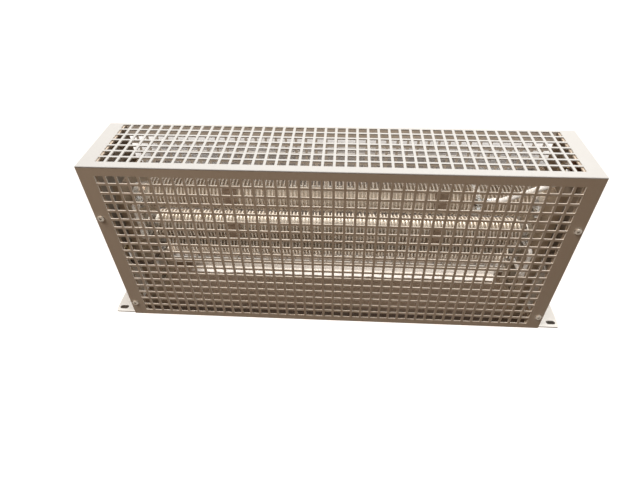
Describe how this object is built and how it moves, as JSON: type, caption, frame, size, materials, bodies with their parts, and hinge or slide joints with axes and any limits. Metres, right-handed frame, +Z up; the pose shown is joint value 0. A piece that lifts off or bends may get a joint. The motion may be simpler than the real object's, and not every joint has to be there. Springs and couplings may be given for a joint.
{
  "type": "enclosed resistor",
  "caption": "Wall or floor mounted perforated sheet-metal box holding long ribbon-wound ceramic tube resistors, on slotted feet at both ends.",
  "frame": {"origin": "on the ground under the middle of the case, at the bottom centre of the bounding box", "axes": "+X along the case towards its right end, +Y from the front panel to the rear panel, +Z up"},
  "size_m": [0.638, 0.1098, 0.252],
  "materials": {
    "case_paint": "smooth pale beige-grey powder coat, satin",
    "screw_steel": "bright zinc plate",
    "support_steel": "pale beige-grey paint, in the case's shade",
    "clamp_steel": "plain steel, dulled by heat",
    "ceramic": "unglazed cream ceramic",
    "ribbon": "rolled resistance alloy, satin",
    "brass": "plain turned brass",
    "tinned_copper": "tinned copper",
    "insulator": "moulded red-brown resin",
    "lead_sleeve": "white silicone sleeve, satin",
    "grommet_rubber": "black rubber, matt"
  },
  "bodies": {
    "root": {"front_panel": "case_paint", "rear_panel": "case_paint", "top_panel": "case_paint", "left_end_plate": "case_paint", "right_end_plate": "case_paint", "left_foot": "case_paint", "right_foot": "case_paint", "floor_pan": "case_paint", "front_screws": "screw_steel", "rear_screws": "screw_steel", "side_screws": "screw_steel", "standoff_screws": "screw_steel", "front_clinch_nuts": "screw_steel", "rear_clinch_nuts": "screw_steel", "side_clinch_nuts": "screw_steel", "support_nuts": "screw_steel", "tie_rods": "screw_steel", "rod_washers": "screw_steel", "rod_spring_washers": "screw_steel", "rod_nuts": "screw_steel", "clamp_bolts": "screw_steel", "clamp_nuts": "screw_steel", "left_support": "support_steel", "right_support": "support_steel", "end_clamps": "clamp_steel", "feed_clamp": "clamp_steel", "link_bar": "clamp_steel", "tap_lugs": "clamp_steel", "upper_tube": "ceramic", "middle_tube": "ceramic", "lower_tube": "ceramic", "tube_bushes": "ceramic", "upper_winding": "ribbon", "middle_winding": "ribbon", "lower_winding": "ribbon", "standoff_studs": "brass", "standoff_nuts": "brass", "earth_bolt": "brass", "earth_washer": "brass", "earth_nut": "brass", "clamp_terminals": "tinned_copper", "standoff_terminals": "tinned_copper", "standoff_insulators": "insulator", "feed_lead": "lead_sleeve", "loop_lead": "lead_sleeve", "left_lead": "lead_sleeve", "cable_grommets": "grommet_rubber"}
  },
  "joints": []
}
